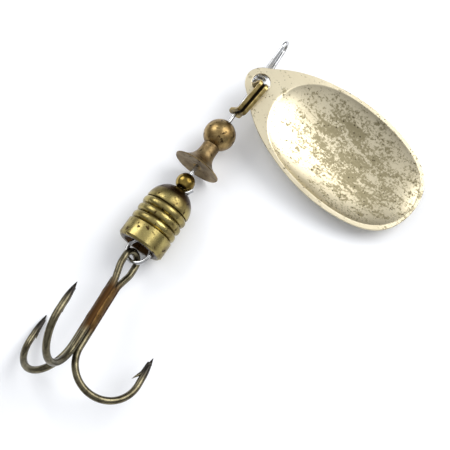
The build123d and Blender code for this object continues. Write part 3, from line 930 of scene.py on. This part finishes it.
# the third prong's point rests on the card, which sets how steeply the shank leans
single_turn = 4 * pi / 3
single_lie = eye_turn + pi / 2
hook_run = shank_length - point_leg - eye_top
hook_side = (
    -2 * bend_r * np.sin(hook_roll + single_turn)
    - single_offset * np.sin(hook_roll + single_lie)
    - eye_shift * np.sin(hook_roll + eye_turn)
)
hook_fall = table_z + floor_gap + point_rest - ring_apex[2]
hook_pitch = asin(hook_fall / hypot(hook_run, hook_side)) + atan2(hook_side, hook_run)
hook_along = np.array(
    [
        np.cos(hook_turn) * np.cos(hook_pitch),
        np.sin(hook_turn) * np.cos(hook_pitch),
        np.sin(hook_pitch),
    ]
)
hook_level = np.cross((0, 0, 1), hook_along)
hook_level /= np.linalg.norm(hook_level)
hook_up = np.cross(hook_along, hook_level)


def round_shank(angle):
    """Direction square to the shank, at an angle round it from the first prong."""
    return hook_level * np.cos(hook_roll + angle) + hook_up * np.sin(hook_roll + angle)


eye_origin = ring_apex - hook_along * eye_top + round_shank(eye_turn) * eye_shift


def on_shank(points, angle, offset_angle=0.0, offset=0.0):
    """Flat points (along the shank, out from it) in the plane at an angle round it, moved aside."""
    x, y = np.asarray(points, float).T[..., None]
    return eye_origin + round_shank(offset_angle) * offset + x * hook_along + y * round_shank(angle)


def prong_path(join, lag=0.0):
    """From the point: a straight leg, a half-round bend and the start of the shank."""
    bend_x = shank_length + lag
    bend = arc((bend_x, bend_r), bend_r, 90, -180)
    return np.vstack([[(bend_x - point_leg, 2 * bend_r)], bend, [(join, 0)]])


def needle(path):
    """Wire radius along a path that starts at a ground point: a quarter sine up to the full wire."""
    run = np.concatenate([[0], np.cumsum(np.linalg.norm(np.diff(path, axis=0), axis=1))])
    rise = np.sin(np.clip(run / point_taper, 0, 1) * pi / 2) ** 0.9
    return point_tip_r + (hook_r - point_tip_r) * rise


def barb(angle, offset_angle, offset, lag=0.0):
    """A sliver cut from the inside of the leg and raised: a flat cone that ends in a point.

    Its radius is barb_r (1 - share^1.8), with share from 0 at the leg to 1 at the point.
    """
    # from inside the wire it runs close to the leg's skin, and then rises to its point
    root_x = shank_length + lag - point_leg + barb_root
    leg_y = 2 * bend_r
    line = rounded(
        [
            (root_x - 1.6, leg_y - 0.1),
            (root_x + 0.8, leg_y - 0.45),
            (root_x - barb_root + barb_back, leg_y - barb_reach),
        ],
        [barb_bend],
    )
    path = even(on_shank(line, angle, offset_angle, offset), 0.12)
    share = np.linspace(0, 1, len(path))
    radius = barb_r * (1 - share**1.8) + point_tip_r / 2
    normal = np.cross(hook_along, round_shank(angle))
    return tube(path, radius, first=normal, around=14, flat=0.75)


join = shank_length - prong_join
# the eye's two sides close in to the shank about its length, and its end is nearly a half circle
eye_corners = [
    (join, strand_offset),
    (eye_length + 1.0, strand_offset),
    (eye_length - 3.0, eye_r),
    (hook_r, eye_r),
]
eye_corners += [(x, -y) for x, y in reversed(eye_corners)]
eye_bend = eye_r * 0.985
eye_radii = [eye_shoulder, eye_shoulder, eye_bend, eye_bend, eye_shoulder, eye_shoulder]
eye_path = on_shank(rounded(eye_corners, eye_radii), eye_turn)
first_prong = on_shank(prong_path(join), 0, eye_turn - pi, strand_offset)
second_turn = 2 * pi / 3
second_prong = on_shank(prong_path(join, second_prong_lag), second_turn, eye_turn, strand_offset)
double_path = np.vstack([first_prong, eye_path[::-1][1:-1], second_prong[::-1]])
double_path = even(double_path, 0.16, soften=2)
double_radius = np.minimum(needle(double_path), needle(double_path[::-1])[::-1])
single_path = on_shank(prong_path(braze_start - single_lead), single_turn, single_lie, single_offset)
single_path = even(single_path, 0.16, soften=2)


def bronzed_steel(name, light, dark, rust, point):
    """Bronzed hook wire: a thin olive-brown coat with a satin shine, darker in blots of 2 mm.

    It is rust brown and dull along the brazing, whose ends wander with the blots, and dark grey
    on the ground points.
    """
    finish, tree, shader, where = start_metal(name, 0.3)
    blot = add(
        tree, "TexNoise",
        [("Vector", where), ("Scale", per(2.2)), ("Detail", 5), ("Roughness", 0.6)],
    )
    darkened = add(tree, "MapRange", [("Value", blot), ("From Min", 0.35), ("From Max", 0.65)])
    base = add(tree, "Mix", [(0, darkened), (6, linear(light)), (7, linear(dark))], data_type="RGBA")
    centred = add(tree, "VectorMath", [(0, where), (1, tuple(place(eye_origin)))], operation="SUBTRACT")
    along = add(
        tree, "VectorMath",
        [(0, centred), (1, tuple(hook_along * 1000))],
        operation="DOT_PRODUCT",
    )
    out = add(tree, "VectorMath", [(0, centred), (1, tuple(hook_along))], operation="CROSS_PRODUCT")
    out_by = add(tree, "VectorMath", [(0, out)], operation="LENGTH")
    middle = add(tree, "Math", [(0, along), (1, braze_start + braze_length / 2)], operation="SUBTRACT")
    off = add(tree, "Math", [(0, middle)], operation="ABSOLUTE")
    jitter = add(tree, "Math", [(0, blot), (1, 5.0), (2, off)], operation="MULTIPLY_ADD")
    rusted = add(
        tree, "MapRange",
        [("Value", jitter), ("From Min", braze_length / 2 + 4.0), ("From Max", braze_length / 2 + 1.4)],
    )
    # rust keeps to the shank, and the ground points are far out from it and back along it
    near = add(tree, "MapRange", [("Value", out_by), ("From Min", 0.0042), ("From Max", 0.0030)])
    rust_share = add(tree, "Math", [(0, rusted), (1, near)], operation="MULTIPLY")
    far_out = add(tree, "MapRange", [("Value", out_by), ("From Min", 0.0085), ("From Max", 0.0105)])
    up_leg = add(tree, "MapRange", [("Value", along), ("From Min", 23.5), ("From Max", 20.5)])
    ground = add(tree, "Math", [(0, far_out), (1, up_leg)], operation="MULTIPLY")
    rusty = add(tree, "Mix", [(0, rust_share), (6, base), (7, linear(rust))], data_type="RGBA")
    colour = add(tree, "Mix", [(0, ground), (6, rusty), (7, linear(point))], data_type="RGBA")
    matt = add(tree, "MapRange", [("Value", rust_share), ("To Min", 0.27), ("To Max", 0.6)])
    relief = add(tree, "Bump", [("Height", blot), ("Strength", 0.4), ("Distance", 0.00007)])
    tree.links.new(colour, shader.inputs["Base Color"])
    tree.links.new(matt, shader.inputs["Roughness"])
    tree.links.new(relief, shader.inputs["Normal"])
    return finish


hook_finish = bronzed_steel("bronzed_hook_steel", "#78715A", "#403A2C", "#4A331C", "#35322E")
double = surface(
    "hook_double_wire",
    tube(double_path, double_radius, first=round_shank(pi / 2), around=24),
    barb(0, eye_turn - pi, strand_offset),
    barb(second_turn, eye_turn, strand_offset, second_prong_lag),
)
single = surface(
    "hook_single_wire",
    tube(single_path, needle(single_path), first=round_shank(pi / 2), around=24),
    barb(single_turn, single_lie, single_offset),
)
for piece, node in ((double, "hook_double"), (single, "hook_single")):
    piece.data.materials.append(hook_finish)
    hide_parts(node)
    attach(piece, "hook")

# ---- brazing ----
# Brass brazing run along the shank, which fills the grooves between the three wires. It has gone
# rust brown, and duller and brighter in patches.
braze_r = 1.37
braze_lobe = 0.05  # how far it bulges over each wire
braze_lumps = ((0.035, 9, 2, 0.0), (0.025, 23, -1, 1.0))  # height, waves along, waves round, start
braze_blunt = 9  # its ends are rounded as a circle's at 2, and are blunter as this grows
braze_run = np.linspace(0, 1, 90)
braze_angle = np.linspace(0, 2 * pi, 60, endpoint=False)
braze_end = np.sqrt(np.clip(1 - np.abs(2 * braze_run - 1) ** braze_blunt, 0, 1))[:, None]
braze_skin = braze_r + braze_lobe * np.cos(3 * (braze_angle - single_lie))
for lump, along_waves, round_waves, start in braze_lumps:
    wave = np.sin(along_waves * braze_run[:, None] + round_waves * braze_angle + start)
    braze_skin = braze_skin + lump * wave
braze_skin = braze_skin * braze_end
braze_middle = eye_origin + round_shank(single_lie) * single_offset / 3
braze_axis = braze_middle + (braze_start + braze_length * braze_run)[:, None] * hook_along
round_cos, round_sin = np.cos(braze_angle)[:, None], np.sin(braze_angle)[:, None]
braze_ring = round_cos * round_shank(0) + round_sin * round_shank(pi / 2)
braze = surface("shank_braze", braze_axis[:, None] + braze_skin[..., None] * braze_ring, sharp=80)
braze.data.materials.append(
    aged_brass("rusty_brazing", "#725732", "#432E18", "#24170B", 0.42, 0.09)
)
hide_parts("hook_braze")
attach(braze, "hook")
